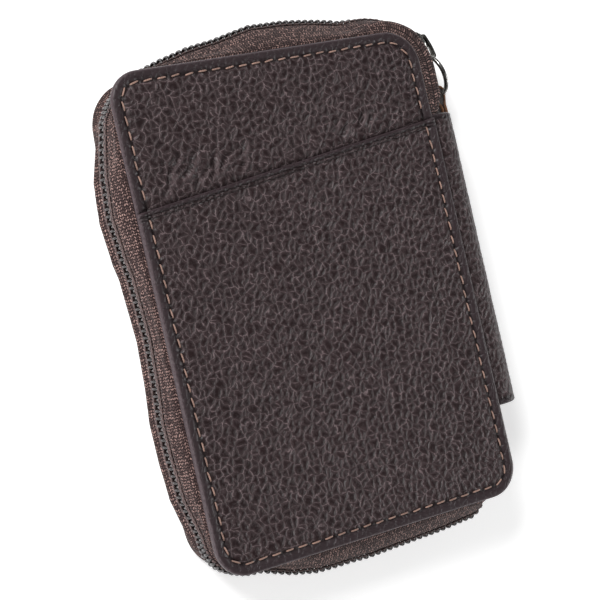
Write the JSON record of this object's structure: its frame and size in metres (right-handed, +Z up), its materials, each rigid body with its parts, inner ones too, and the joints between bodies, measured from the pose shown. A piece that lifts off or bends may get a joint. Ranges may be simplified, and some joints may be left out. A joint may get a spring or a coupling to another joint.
{
  "type": "zip-around card wallet",
  "caption": "Small zip-around leather wallet: two stiffened covers joined by a spine, coil zip round three sides, slanted front slip pocket, wire ring and pull tab.",
  "frame": {"origin": "centre of the back cover's outer face, on the surface the closed wallet lies on", "axes": "+Z up through the wallet's thickness, +Y towards the top edge (longest side), +X towards the spine"},
  "size_m": [0.0931, 0.1199, 0.018],
  "materials": {
    "pebbled_leather": "dark brown pebbled grain, semi-matte",
    "inner_leather": "dark brown smooth, matte",
    "tab_leather": "dark brown with raw orange-brown cut edge",
    "lining": "dark brown woven lining",
    "zip_tape": "brown woven tape",
    "zip_coil": "dark brown glossy nylon monofilament",
    "thread": "tan waxed thread",
    "board": "fibre board",
    "dark_metal": "antique dark nickel"
  },
  "bodies": {
    "back": {"back_cover": "pebbled_leather", "back_stiffener": "board", "back_lining": "lining", "back_zip_tape": "zip_tape", "back_zip_coil": "zip_coil", "back_stitching": "thread", "card_slot_rear": "inner_leather", "card_slot_middle": "inner_leather", "card_slot_front": "inner_leather", "spine_margin_back": "pebbled_leather", "zip_top_stop_back": "dark_metal", "zip_bottom_stop": "dark_metal"},
    "spine": {"spine_cover": "pebbled_leather", "spine_lining": "lining"},
    "front": {"front_cover": "pebbled_leather", "front_pocket": "pebbled_leather", "front_stitching": "thread", "front_stiffener": "board", "front_lining": "lining", "front_slip_pocket": "inner_leather", "front_zip_tape": "zip_tape", "front_zip_coil": "zip_coil", "zip_top_stop_front": "dark_metal", "spine_margin_front": "pebbled_leather"},
    "slider": {"slider_body": "dark_metal", "slider_bridge": "dark_metal"},
    "ring": {"pull_ring": "dark_metal"},
    "tab": {"pull_tab": "tab_leather", "pull_tab_stitching": "thread"}
  },
  "joints": [
    {"name": "spine_fold", "type": "hinge", "parent": "back", "child": "spine", "pos_m": [0.044, 0, 0.002], "axis": [0, 1, 0], "range_deg": [0, 90]},
    {"name": "cover_fold", "type": "hinge", "parent": "spine", "child": "front", "pos_m": [0.044, 0, 0.016], "axis": [0, 1, 0], "range_deg": [0, 90]},
    {"name": "zip_run", "type": "hinge", "parent": "back", "child": "slider", "pos_m": [0.0288, 0.0455, 0.0086], "axis": [0, 0, 1], "range_deg": [0, 45]},
    {"name": "ring_swing", "type": "hinge", "parent": "slider", "child": "ring", "pos_m": [0.04564, 0.04923, 0.0086], "axis": [0, 0, 1], "range_deg": [0, 54]},
    {"name": "tab_swing", "type": "hinge", "parent": "ring", "child": "tab", "pos_m": [0.04816, 0.04045, 0.00453], "axis": [0, 0, 1], "range_deg": [0, 80]}
  ],
  "couplings": [
    {"joint": "cover_fold", "follows": "spine_fold", "ratio": 1},
    {"joint": "zip_run", "follows": "spine_fold", "ratio": 0.5},
    {"joint": "ring_swing", "follows": "spine_fold", "ratio": 0.6}
  ]
}
